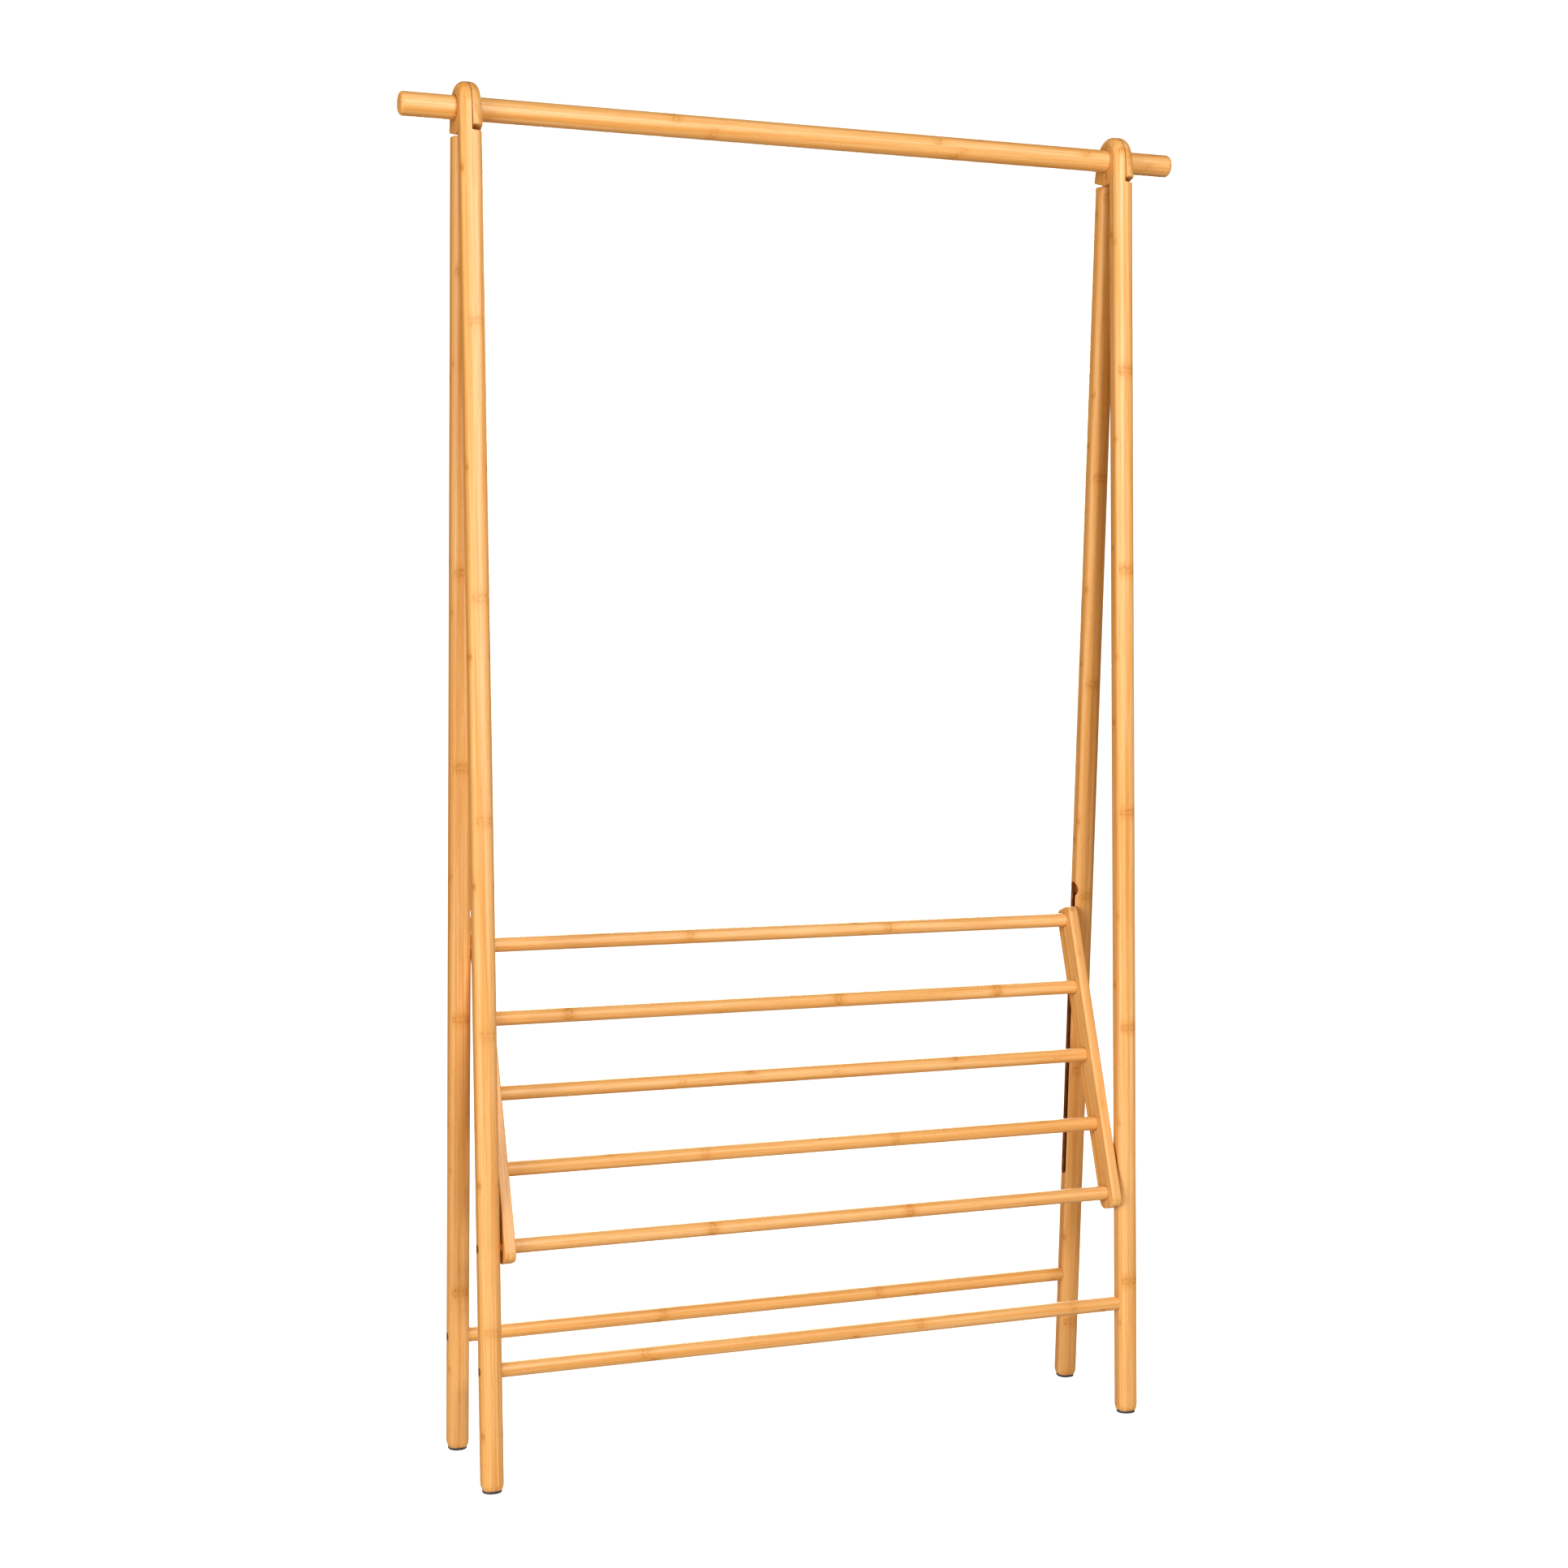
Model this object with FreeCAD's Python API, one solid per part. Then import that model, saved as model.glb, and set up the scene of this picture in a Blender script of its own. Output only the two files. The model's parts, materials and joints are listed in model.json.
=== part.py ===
import FreeCAD, Part
import math
import os

os.makedirs("parts", exist_ok=True)

Vector = FreeCAD.Vector

# A folding clothes rack. X runs along the hanging rail, the front is -Y, and the floor is Z = 0.
# It is drawn ajar, as it stands in the photograph. Lengths are millimetres and angles are degrees.
# A "drop" is a distance below the rail axis, measured along a leg.

# Side frames
frame_spacing = 832.0        # centre to centre of the left and right legs
rest_spread = 4.78           # angle between front and rear legs
leg_reach = 1582.0           # rail axis to the underside of the foot pad
leg_width = 26.0
leg_edge_radius = 10.0
leg_bevel_height = 7.0
leg_bevel_inset = 1.8

# Half-lap heads
head_radius = 29.5
head_lap_gap = 0.6           # between the two halves of a head
shoulder_drop = 29.5
stop_gap = 0.3               # left between wing and shoulder when fully open

# Hanging rail
rail_diameter = 27.0
rail_length = 986.0
rail_end_radius = 5.0
rail_fit = 0.08              # radial running clearance in the heads

# Stretchers
stretcher_diameter = 17.5
stretcher_lift = 141.0       # above the underside of the foot pad
stretcher_seat = 6.0         # depth of the socket in each leg

# Swing-down shelf
shelf_lift = 143.0           # shelf pivot above the stretcher
rod_diameter = 17.5
rod_pitch = 89.0
rod_count = 5
rod_seat = 8.0               # depth of the socket in each bar
bar_thickness = 13.2
bar_width = 35.5
rod_line_turn = 1.1          # how much steeper the line of rods stands than the line from pivot to slot pin
bar_overhang = 15.8          # beyond the axis of the top rod
bar_tail = 19.5              # beyond the axis of the lowest rod
bar_corner_radius = 11.0
bar_edge_radius = 1.6
bar_side_gap = 2.2           # between the bar and the leg beside it

# Pivot spacers
spacer_diameter = 12.5
spacer_face_gap = 0.1        # at each end

# Keyhole slots and the headed pins that run in them
slot_width = 10.5
slot_lip = 4.0               # thickness of the lip that holds the pin's head
slot_undercut_width = 17.0
slot_undercut_depth = 4.2
keyhole_diameter = 19.0
keyhole_lift = 20.0          # keyhole above the pin's place in the folded rack
pin_clearance = 0.35         # all round the pin in its slot
pin_end_gap = 0.3            # between the pin and the shelf bar

# Screws
screw_shank_diameter = 5.0
screw_head_diameter = 9.0
screw_head_height = 3.2
screw_head_edge = 0.8
screw_bite = 26.0            # length held in the end of a dowel
screw_recess_diameter = 11.0
screw_recess_depth = 6.0
hex_key = 4.0                # across the flats
hex_depth = 1.8
screw_running_fit = 0.08     # radial, where a pivot screw turns in its leg and spacer
pivot_head_gap = 0.2         # under a pivot screw's head

# Foot pads
pad_thickness = 3.5
pad_edge_radius = 1.0

# Dowel joints
dowel_fit = 0.05             # radial, round a dowel's end or a screw
dowel_end_gap = 0.2          # between a dowel's end and the floor of its socket

# Derived sizes
half_leg = leg_width / 2
leg_offset = head_radius - half_leg
leg_end = leg_reach - pad_thickness
frame_x = frame_spacing / 2
stretcher_drop = leg_reach - stretcher_lift
pivot_drop = stretcher_drop - shelf_lift
shelf_reach = rod_pitch * (rod_count - 1)
bar_outer_x = frame_x - half_leg - bar_side_gap
bar_inner_x = bar_outer_x - bar_thickness
pad_half = half_leg - leg_bevel_inset
leg_tilt = rest_spread / 2
X_AXIS = Vector(1, 0, 0)
HINGE = Vector(0, 0, 0)


def rail_height():
    """Height of the rail axis with the pads' lowest edges on the floor."""
    tilt = math.radians(leg_tilt)
    half_flat = pad_half - pad_edge_radius
    drop = (leg_reach - pad_edge_radius) * math.cos(tilt) + pad_edge_radius
    return drop - (leg_offset - half_flat) * math.sin(tilt)


def open_spread():
    """Angle between the legs when the shelf lies level, with both its ends at the same drop."""
    span = math.hypot(leg_offset, pivot_drop)
    half = math.asin(shelf_reach / 2 / span) - math.atan2(leg_offset, pivot_drop)
    return math.degrees(2 * half)


def slot_drop(spread):
    """Drop of the slot pin on the rear leg at an angle between the legs, before the shelf is level."""
    angle = math.radians(spread)
    across = leg_offset * (1 + math.cos(angle)) + pivot_drop * math.sin(angle)
    along = pivot_drop * math.cos(angle) - leg_offset * math.sin(angle)
    return along - math.sqrt(shelf_reach ** 2 - across ** 2)


def shelf_lean(spread, pin_drop):
    """Angle of the shelf, pivot to pin, from the front leg's own line."""
    angle = math.radians(spread)
    back = leg_offset * (1 + math.cos(angle)) + pin_drop * math.sin(angle)
    rise = pivot_drop + leg_offset * math.sin(angle) - pin_drop * math.cos(angle)
    return math.degrees(math.atan2(back, rise))


full_spread = open_spread()
rest_pin_drop = slot_drop(rest_spread)
folded_pin_drop = slot_drop(0.0)
keyhole_drop = folded_pin_drop - keyhole_lift
axis_height = rail_height()


def turned(shape, angle):
    """A copy turned about the X axis through the origin."""
    copy = shape.copy()
    copy.rotate(HINGE, X_AXIS, angle)
    return copy


def stand(shape, tilt, x=0.0):
    """Take a shape drawn about the rail axis, on an upright leg, to its place on the rack."""
    placed = turned(shape, tilt)
    placed.translate(Vector(x, 0, axis_height))
    return placed


def rod_x(radius, start, end, y=0.0, z=0.0):
    """A round bar along X."""
    return Part.makeCylinder(radius, end - start, Vector(start, y, z), X_AXIS)


def bore(side, depth_from, depth_to, radius, y, drop):
    """A drill along X into a leg, with depths measured inward from its outer face."""
    start = side * (half_leg - depth_from)
    end = side * (half_leg - depth_to)
    return rod_x(radius, min(start, end), max(start, end), y, -drop)


def leg_section(z, inset=0.0):
    """The leg's rounded square, centred on the leg's line."""
    half = half_leg - inset
    radius = leg_edge_radius - inset
    flat = half - radius
    diagonal = flat + radius * math.sqrt(0.5)
    edges = []
    for quarter in range(4):
        turn = FreeCAD.Rotation(Vector(0, 0, 1), 90 * quarter)
        corner = [(half, -flat), (half, flat), (diagonal, diagonal), (flat, half)]
        points = [turn.multVec(Vector(x, y, 0)) + Vector(0, leg_offset, z) for x, y in corner]
        edges.append(Part.makeLine(points[0], points[1]))
        edges.append(Part.Arc(points[1], points[2], points[3]).toShape())
    return Part.Wire(edges)


def head_profile(inner):
    """Section of the half-lap, from a line near the hinge out to the rounded rim."""
    lap = head_lap_gap / 2
    shoulder = half_leg - leg_edge_radius
    rim = head_radius - leg_edge_radius
    bend = leg_edge_radius * math.sqrt(0.5)
    arc = Part.Arc(Vector(half_leg, rim, 0), Vector(shoulder + bend, rim + bend, 0),
                   Vector(shoulder, head_radius, 0)).toShape()
    outline = [Vector(shoulder, head_radius, 0), Vector(lap, head_radius, 0), Vector(lap, inner, 0),
               Vector(half_leg, inner, 0), Vector(half_leg, rim, 0)]
    lines = [Part.makeLine(a, b) for a, b in zip(outline, outline[1:])]
    return Part.Face(Part.Wire([arc] + lines))


def half_head():
    """Half-lap head: part of a disc, a plate above the leg, and a stop wing flared at the fully open angle."""
    angle = math.radians(full_spread)
    wing_drop = shoulder_drop - stop_gap
    wing_inner = (shoulder_drop - wing_drop * math.cos(angle)) / math.sin(angle)
    plate_inner = wing_inner * math.cos(angle) - wing_drop * math.sin(angle)

    disc = head_profile(0.0).revolve(HINGE, X_AXIS, 180 - full_spread)
    plate = head_profile(plate_inner).extrude(Vector(0, 0, -shoulder_drop))
    wing = head_profile(-wing_inner).extrude(Vector(0, 0, -wing_drop)).mirror(HINGE, Vector(0, 1, 0))
    return disc.fuse([plate, turned(wing, -full_spread)])


def leg_blank():
    """One leg before drilling, upright, with its line behind the rail axis."""
    start = leg_section(-shoulder_drop)
    straight = leg_end - leg_bevel_height - shoulder_drop
    shaft = Part.Face(start).extrude(Vector(0, 0, -straight))
    bevel = Part.makeLoft([leg_section(-leg_end + leg_bevel_height), leg_section(-leg_end, leg_bevel_inset)],
                          True, True)
    blank = half_head().fuse([shaft, bevel]).removeSplitter()
    return blank.cut(rod_x(rail_diameter / 2 + rail_fit, -leg_width, leg_width))


def screw_bore(side, y, drop, shank_fit):
    """Head recess and shank hole for a screw from the outer face."""
    recess = bore(side, -1.0, screw_recess_depth, screw_recess_diameter / 2, y, drop)
    hole = bore(side, 0.0, leg_width + 1.0, screw_shank_diameter / 2 + shank_fit, y, drop)
    return recess.fuse(hole)


def stretcher_bores(side, y):
    """Socket for the stretcher's end and the holes for its screw."""
    radius = stretcher_diameter / 2 + dowel_fit
    socket = bore(side, leg_width - stretcher_seat, leg_width + 1.0, radius, y, stretcher_drop)
    return socket.fuse(screw_bore(side, y, stretcher_drop, dowel_fit))


def slot_run(side, depth_from, depth_to, width):
    """A round-ended groove from the keyhole to the pin's lowest place."""
    ends = [bore(side, depth_from, depth_to, width / 2, leg_offset, drop) for drop in (keyhole_drop, pivot_drop)]
    start = side * (half_leg - depth_from)
    end = side * (half_leg - depth_to)
    run = Part.makeBox(abs(end - start), width, pivot_drop - keyhole_drop,
                       Vector(min(start, end), leg_offset - width / 2, -pivot_drop))
    return run.fuse(ends)


def keyhole_slot(side):
    """Undercut slot in the inner face, with a round entry for the pin's head."""
    lip = leg_width - slot_lip
    floor = lip - slot_undercut_depth
    neck = slot_run(side, lip, leg_width + 1.0, slot_width)
    undercut = slot_run(side, floor, lip, slot_undercut_width)
    entry = bore(side, floor, leg_width + 1.0, keyhole_diameter / 2, leg_offset, keyhole_drop)
    return neck.fuse([undercut, entry])


def front_leg(side):
    """The blank turned round, with the stretcher's and the shelf pivot's holes."""
    blank = leg_blank()
    blank.rotate(HINGE, Vector(0, 0, 1), 180)
    pivot = screw_bore(side, -leg_offset, pivot_drop, screw_running_fit)
    drilled = blank.cut([stretcher_bores(side, -leg_offset), pivot])
    return stand(drilled, -leg_tilt, side * frame_x)


def rear_leg(side):
    """The blank with the stretcher's holes and the keyhole slot."""
    drilled = leg_blank().cut([stretcher_bores(side, leg_offset), keyhole_slot(side)])
    return stand(drilled, leg_tilt, side * frame_x)


def hanging_rail():
    """The dowel through all four heads."""
    dowel = rod_x(rail_diameter / 2, -rail_length / 2, rail_length / 2)
    ends = [edge for edge in dowel.Edges if edge.Curve.TypeId == "Part::GeomCircle"]
    return stand(dowel.makeFillet(rail_end_radius, ends), 0.0)


def drilled_dowel(diameter, half_length, pilots):
    """A dowel along X, with pilot holes for screws in its ends where asked."""
    dowel = rod_x(diameter / 2, -half_length, half_length)
    if not pilots:
        return dowel
    radius = screw_shank_diameter / 2 + dowel_fit
    holes = [rod_x(radius, half_length - screw_bite, half_length), rod_x(radius, -half_length, screw_bite - half_length)]
    return dowel.cut(holes)


def screw(side, seat_depth, length):
    """A socket-head screw, pointing inward, whose head sits at a depth from the leg's outer face."""
    shank = rod_x(screw_shank_diameter / 2, 0, length)
    head = rod_x(screw_head_diameter / 2, -screw_head_height, 0)
    rim = [edge for edge in head.Edges if edge.Curve.TypeId == "Part::GeomCircle"
           and edge.CenterOfMass.x < -screw_head_height / 2]
    head = head.makeFillet(screw_head_edge, rim)
    corner = hex_key / math.sqrt(3)
    points = [Vector(-screw_head_height, corner * math.cos(math.radians(60 * i)), corner * math.sin(math.radians(60 * i)))
              for i in range(7)]
    socket = Part.Face(Part.makePolygon(points)).extrude(Vector(hex_depth, 0, 0))
    body = head.fuse(shank).cut(socket)
    if side > 0:
        body = body.mirror(HINGE, X_AXIS)
    body.translate(Vector(side * (half_leg - seat_depth), 0, 0))
    return body


def stretcher_half():
    """Half length of a stretcher, to just short of its socket's floor."""
    return frame_x - half_leg + stretcher_seat - dowel_end_gap


def stretcher(y, tilt):
    """The dowel low down between two legs."""
    dowel = drilled_dowel(stretcher_diameter, stretcher_half(), True)
    dowel.translate(Vector(0, y, -stretcher_drop))
    return stand(dowel, tilt)


def stretcher_screws(y, tilt):
    """The two screws that hold a stretcher."""
    grip = leg_width - screw_recess_depth - stretcher_seat + dowel_end_gap
    screws = []
    for side in (-1, 1):
        one = screw(side, screw_recess_depth, grip + screw_bite)
        one.translate(Vector(0, y, -stretcher_drop))
        screws.append(stand(one, tilt, side * frame_x))
    return Part.makeCompound(screws)


def foot_pad(side, y, tilt):
    """The pad under a leg, flush with the leg's lower end."""
    pad = Part.Face(leg_section(-leg_reach, leg_bevel_inset)).extrude(Vector(0, 0, pad_thickness))
    lower = [edge for edge in pad.Edges if edge.BoundBox.ZMax < -leg_reach + pad_thickness / 2]
    pad = pad.makeFillet(pad_edge_radius, lower)
    pad.translate(Vector(0, y - leg_offset, 0))
    return stand(pad, tilt, side * frame_x)


def on_shelf(shape):
    """Take a shape drawn on an upright shelf, with its pivot at the origin, to its place on the rack."""
    leaning = turned(shape, rod_line_turn - shelf_lean(rest_spread, rest_pin_drop))
    leaning.translate(Vector(0, -leg_offset, -pivot_drop))
    return stand(leaning, -leg_tilt)


def rod_half():
    """Half length of a shelf rod, to just short of its socket's floor."""
    return bar_inner_x + rod_seat - dowel_end_gap


def shelf_bar(side):
    """The flat bar with rounded corners that carries the rods."""
    left = min(side * bar_inner_x, side * bar_outer_x)
    plate = Part.makeBox(bar_thickness, bar_width, bar_tail + shelf_reach + bar_overhang,
                         Vector(left, -bar_width / 2, -bar_tail))
    corners = [edge for edge in plate.Edges if edge.BoundBox.XLength > bar_thickness / 2]
    plate = plate.makeFillet(bar_corner_radius, corners)
    rims = [edge for edge in plate.Edges if edge.BoundBox.XLength < bar_thickness / 2]
    plate = plate.makeFillet(bar_edge_radius, rims)
    seats = []
    for index in range(rod_count):
        start = side * (bar_inner_x + rod_seat)
        end = side * (bar_inner_x - 1.0)
        seats.append(rod_x(rod_diameter / 2 + dowel_fit, min(start, end), max(start, end), 0, index * rod_pitch))
    pivot_hole = rod_x(screw_shank_diameter / 2 + dowel_fit, left, left + bar_thickness)
    return on_shelf(plate.cut(seats + [pivot_hole]))


def shelf_rod(index):
    """One of the shelf's dowels, counted from the top. The lowest one takes the pivot screws."""
    lowest = index == rod_count - 1
    dowel = drilled_dowel(rod_diameter, rod_half(), lowest)
    dowel.translate(Vector(0, 0, (rod_count - 1 - index) * rod_pitch))
    return on_shelf(dowel)


def pivot_screws():
    """The two screws on which the shelf turns."""
    seat = screw_recess_depth - pivot_head_gap
    grip = frame_x + half_leg - seat - rod_half()
    screws = []
    for side in (-1, 1):
        one = screw(side, seat, grip + screw_bite)
        one.translate(Vector(side * frame_x, 0, 0))
        screws.append(on_shelf(one))
    return Part.makeCompound(screws)


def pivot_spacer(side):
    """The ring between a front leg and the shelf bar."""
    near = side * (bar_outer_x + spacer_face_gap)
    far = side * (bar_outer_x + bar_side_gap - spacer_face_gap)
    low = min(near, far)
    high = max(near, far)
    ring = rod_x(spacer_diameter / 2, low, high)
    return on_shelf(ring.cut(rod_x(screw_shank_diameter / 2 + screw_running_fit, low, high)))


def slot_pin(side):
    """A headed pin in its slot, ending just short of the shelf bar."""
    head_radius_in_slot = slot_undercut_width / 2 - pin_clearance
    shank_radius = slot_width / 2 - pin_clearance
    lip = leg_width - slot_lip
    floor = lip - slot_undercut_depth
    head = bore(side, floor + pin_clearance, lip - pin_clearance, head_radius_in_slot, leg_offset, rest_pin_drop)
    tip = leg_width + bar_side_gap - pin_end_gap
    shank = bore(side, lip - pin_clearance, tip, shank_radius, leg_offset, rest_pin_drop)
    return stand(head.fuse(shank), leg_tilt, side * frame_x)


nodes = {
    "hang_rail": hanging_rail(),
    "front_stretcher": stretcher(-leg_offset, -leg_tilt),
    "rear_stretcher": stretcher(leg_offset, leg_tilt),
    "front_stretcher_screws": stretcher_screws(-leg_offset, -leg_tilt),
    "rear_stretcher_screws": stretcher_screws(leg_offset, leg_tilt),
    "shelf_pivot_screws": pivot_screws(),
}
for name, side in (("left", -1), ("right", 1)):
    nodes["front_leg_" + name] = front_leg(side)
    nodes["rear_leg_" + name] = rear_leg(side)
    nodes["front_foot_pad_" + name] = foot_pad(side, -leg_offset, -leg_tilt)
    nodes["rear_foot_pad_" + name] = foot_pad(side, leg_offset, leg_tilt)
    nodes["shelf_bar_" + name] = shelf_bar(side)
    nodes["pivot_spacer_" + name] = pivot_spacer(side)
    nodes["slot_pin_" + name] = slot_pin(side)
for index in range(rod_count):
    nodes["shelf_rod_" + str(index + 1)] = shelf_rod(index)

for name, shape in nodes.items():
    shape.exportStep("parts/" + name + ".step")
    print(name, "solids", len(shape.Solids), "valid", shape.isValid())
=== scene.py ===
import bpy
import bmesh
import json
import math
from mathutils import Matrix, Vector


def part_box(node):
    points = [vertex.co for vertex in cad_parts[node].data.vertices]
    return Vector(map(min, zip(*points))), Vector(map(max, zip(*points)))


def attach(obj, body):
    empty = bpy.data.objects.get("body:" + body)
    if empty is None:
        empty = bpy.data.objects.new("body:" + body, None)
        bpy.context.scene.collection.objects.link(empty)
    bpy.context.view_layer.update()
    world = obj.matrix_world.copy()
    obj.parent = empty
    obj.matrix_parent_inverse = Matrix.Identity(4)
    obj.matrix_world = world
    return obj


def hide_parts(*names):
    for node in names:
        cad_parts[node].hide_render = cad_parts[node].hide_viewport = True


# Folding bamboo clothes rack: round rail, four legs with half-lap heads, swing-down slatted shelf.
# Metres, Z up, front is -Y. Everything is drawn ajar, the way it stands in the photo.

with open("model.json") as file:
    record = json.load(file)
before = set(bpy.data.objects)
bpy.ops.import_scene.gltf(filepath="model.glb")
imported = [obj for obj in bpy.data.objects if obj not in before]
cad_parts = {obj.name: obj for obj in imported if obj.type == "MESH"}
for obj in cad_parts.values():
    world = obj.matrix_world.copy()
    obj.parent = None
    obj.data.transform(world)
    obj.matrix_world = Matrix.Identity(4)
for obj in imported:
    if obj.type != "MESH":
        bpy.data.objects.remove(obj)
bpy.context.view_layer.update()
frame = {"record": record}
bodyOf = {node: body for body, nodes in frame["record"]["behaviour"]["bodies"].items() for node in nodes}


def middle(node):
    low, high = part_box(node)
    return (Vector(low) + Vector(high)) / 2


railMiddle = middle("hang_rail")
pivotMiddle = middle("shelf_rod_5")
topRodMiddle = middle("shelf_rod_1")
frameX = 0.416  # leg centre lines, out from the middle
legOffset = 0.0165  # leg centre lines, before and behind the rail's axis
legTilt = math.radians(2.39)  # each leg, from upright
shelfTurn = -math.atan2(topRodMiddle.y - pivotMiddle.y, topRodMiddle.z - pivotMiddle.z)
bothSides = {"left": -1, "right": 1}
touching = 1e-5  # nearer than this counts as the same place
clearOf = 1e-4  # farther than this counts as off an edge
overcut = 0.001  # how far a cutter stands out of the wood
print("frame loaded, shelf leans", round(math.degrees(shelfTurn), 2))


# selecting and cutting

def clearHands():
    if bpy.context.mode != "OBJECT":
        bpy.ops.object.mode_set(mode="OBJECT")
    bpy.ops.object.select_all(action="DESELECT")


def takeUp(piece):
    clearHands()
    piece.select_set(True)
    bpy.context.view_layer.objects.active = piece


def editMesh(piece):
    takeUp(piece)
    bpy.ops.object.mode_set(mode="EDIT")


def applyPlace(piece):
    takeUp(piece)
    bpy.ops.object.transform_apply(location=True, rotation=True, scale=True)


def discard(piece):
    bpy.data.objects.remove(piece, do_unlink=True)


def pick(piece, kind, test):
    bpy.ops.mesh.select_mode(type=kind)
    bpy.ops.mesh.select_all(action="DESELECT")
    mesh = bmesh.from_edit_mesh(piece.data)
    parts = {"VERT": mesh.verts, "EDGE": mesh.edges, "FACE": mesh.faces}[kind]
    for part in parts:
        if kind == "VERT":
            chosen = test(part.co)
        elif kind == "EDGE":
            chosen = test(part.verts[0].co, part.verts[1].co)
        else:
            chosen = test(part.calc_center_median(), part.normal)
        part.select_set(chosen)
    mesh.select_flush_mode()
    bmesh.update_edit_mesh(piece.data)


def roundEdges(width, steps):
    bpy.ops.mesh.bevel(offset=width, segments=steps, affect="EDGES", clamp_overlap=False)


def outward(piece):
    editMesh(piece)
    bpy.ops.mesh.select_all(action="SELECT")
    bpy.ops.mesh.normals_make_consistent(inside=False)
    clearHands()


def carve(piece, tool, cutFaceMaterial=None, operation="DIFFERENCE"):
    # cut faces take the cutter's material; in hollows and at hole rims that material is painted shade
    if cutFaceMaterial:
        tool.data.materials.append(cutFaceMaterial)
    takeUp(piece)
    bpy.ops.object.modifier_add(type="BOOLEAN")
    step = piece.modifiers[-1]
    step.operation = operation
    step.solver = "EXACT"
    step.material_mode = "TRANSFER"
    step.object = tool
    bpy.ops.object.modifier_apply(modifier=step.name)
    discard(tool)


def copyOf(piece):
    twin = piece.copy()
    twin.data = piece.data.copy()
    bpy.context.collection.objects.link(twin)
    return twin


def turnedPiece(profile, y=0.0, z=0.0, sides=64):
    # a solid of revolution along X: a disc pushed out ring by ring through (x, radius)
    startX, startRadius = profile[0]
    clearHands()
    bpy.ops.mesh.primitive_circle_add(vertices=sides, radius=startRadius, fill_type="NGON",
                                      location=(startX, y, z), rotation=(0, math.pi / 2, 0))
    piece = bpy.context.object
    applyPlace(piece)
    editMesh(piece)
    bpy.ops.mesh.select_all(action="SELECT")
    for (x0, r0), (x1, r1) in zip(profile, profile[1:]):
        bpy.ops.mesh.extrude_region_move(TRANSFORM_OT_translate={"value": (x1 - x0, 0, 0)})
        if r1 != r0:
            bpy.ops.transform.resize(value=(1, r1 / r0, r1 / r0), center_override=(x1, y, z))
    clearHands()
    outward(piece)
    return piece


surface = dict(sliver=1e-6, smoothAngle=32, faceWeight=80)


def finishPiece(piece, name, node, material):
    editMesh(piece)
    bpy.ops.mesh.select_all(action="SELECT")
    bpy.ops.mesh.dissolve_degenerate(threshold=surface["sliver"])
    takeUp(piece)
    piece.name = name
    piece.data.name = name
    bpy.ops.object.shade_smooth_by_angle(angle=math.radians(surface["smoothAngle"]))
    bpy.ops.object.modifier_add(type="WEIGHTED_NORMAL")
    step = piece.modifiers[-1]
    step.keep_sharp = True
    step.weight = surface["faceWeight"]
    bpy.ops.object.modifier_apply(modifier=step.name)
    if not piece.data.materials:
        piece.data.materials.append(material)
    piece.data.materials[0] = material
    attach(piece, bodyOf[node])
    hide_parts(node)


# shader maths

class Wire:
    def __init__(self, tree, socket=None):
        self.tree = tree
        self.socket = socket

    def add(self, kind, settings=None, inputs=None, out=0):
        node = self.tree.nodes.new(kind)
        for key, value in (settings or {}).items():
            setattr(node, key, value)
        for key, value in (inputs or {}).items():
            if isinstance(value, Wire):
                self.tree.links.new(value.socket, node.inputs[key])
            else:
                node.inputs[key].default_value = value
        if isinstance(out, tuple):
            return [Wire(self.tree, node.outputs[key]) for key in out]
        return Wire(self.tree, node.outputs[out]) if node.outputs else None

    def math(self, operation, first, second=0.0):
        return self.add("ShaderNodeMath", {"operation": operation}, {0: first, 1: second})

    def __add__(self, other):
        return self.math("ADD", self, other)

    def __radd__(self, other):
        return self.math("ADD", other, self)

    def __sub__(self, other):
        return self.math("SUBTRACT", self, other)

    def __rsub__(self, other):
        return self.math("SUBTRACT", other, self)

    def __mul__(self, other):
        return self.math("MULTIPLY", self, other)

    def __rmul__(self, other):
        return self.math("MULTIPLY", other, self)

    def __truediv__(self, other):
        return self.math("DIVIDE", self, other)

    def __abs__(self):
        return self.math("ABSOLUTE", self)

    def floor(self):
        return self.math("FLOOR", self)

    def fract(self):
        return self.math("FRACT", self)

    def ease(self, low, high):
        return self.add("ShaderNodeMapRange", {"interpolation_type": "SMOOTHSTEP"},
                        {"Value": self, "From Min": low, "From Max": high})

    def place(self):
        return self.add("ShaderNodeTexCoord", None, None, "Object")

    def split(self, vector):
        return self.add("ShaderNodeSeparateXYZ", None, {0: vector}, ("X", "Y", "Z"))

    def splitColour(self, colour):
        return self.add("ShaderNodeSeparateColor", None, {0: colour}, ("Red", "Green", "Blue"))

    def vector(self, x, y, z):
        return self.add("ShaderNodeCombineXYZ", None, {0: x, 1: y, 2: z})

    def noise(self, x, y, z, detail=2.0, roughness=0.5):
        return self.add("ShaderNodeTexNoise", {"noise_dimensions": "3D"},
                        {"Vector": self.vector(x, y, z), "Scale": 1.0,
                         "Detail": detail, "Roughness": roughness})

    def speckle(self, spot, scale, detail=2.0, roughness=0.5):
        x, y, z = (axis * times for axis, times in zip(spot, scale))
        return self.noise(x, y, z, detail, roughness)

    def chance(self, x, y, z, out):
        return self.add("ShaderNodeTexWhiteNoise", {"noise_dimensions": "3D"},
                        {"Vector": self.vector(x, y, z)}, out)

    def paint(self, factor, under, over):
        return self.add("ShaderNodeMix", {"data_type": "RGBA", "clamp_factor": True},
                        {0: factor, 6: under, 7: over}, 2)

    def bump(self, height, strength, deep):
        return self.add("ShaderNodeBump", None, {"Strength": strength, "Distance": deep, "Height": height})


def newMaterial(name):
    material = bpy.data.materials.new(name)
    material.use_nodes = True
    material.node_tree.nodes.clear()
    return material, Wire(material.node_tree)


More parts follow.
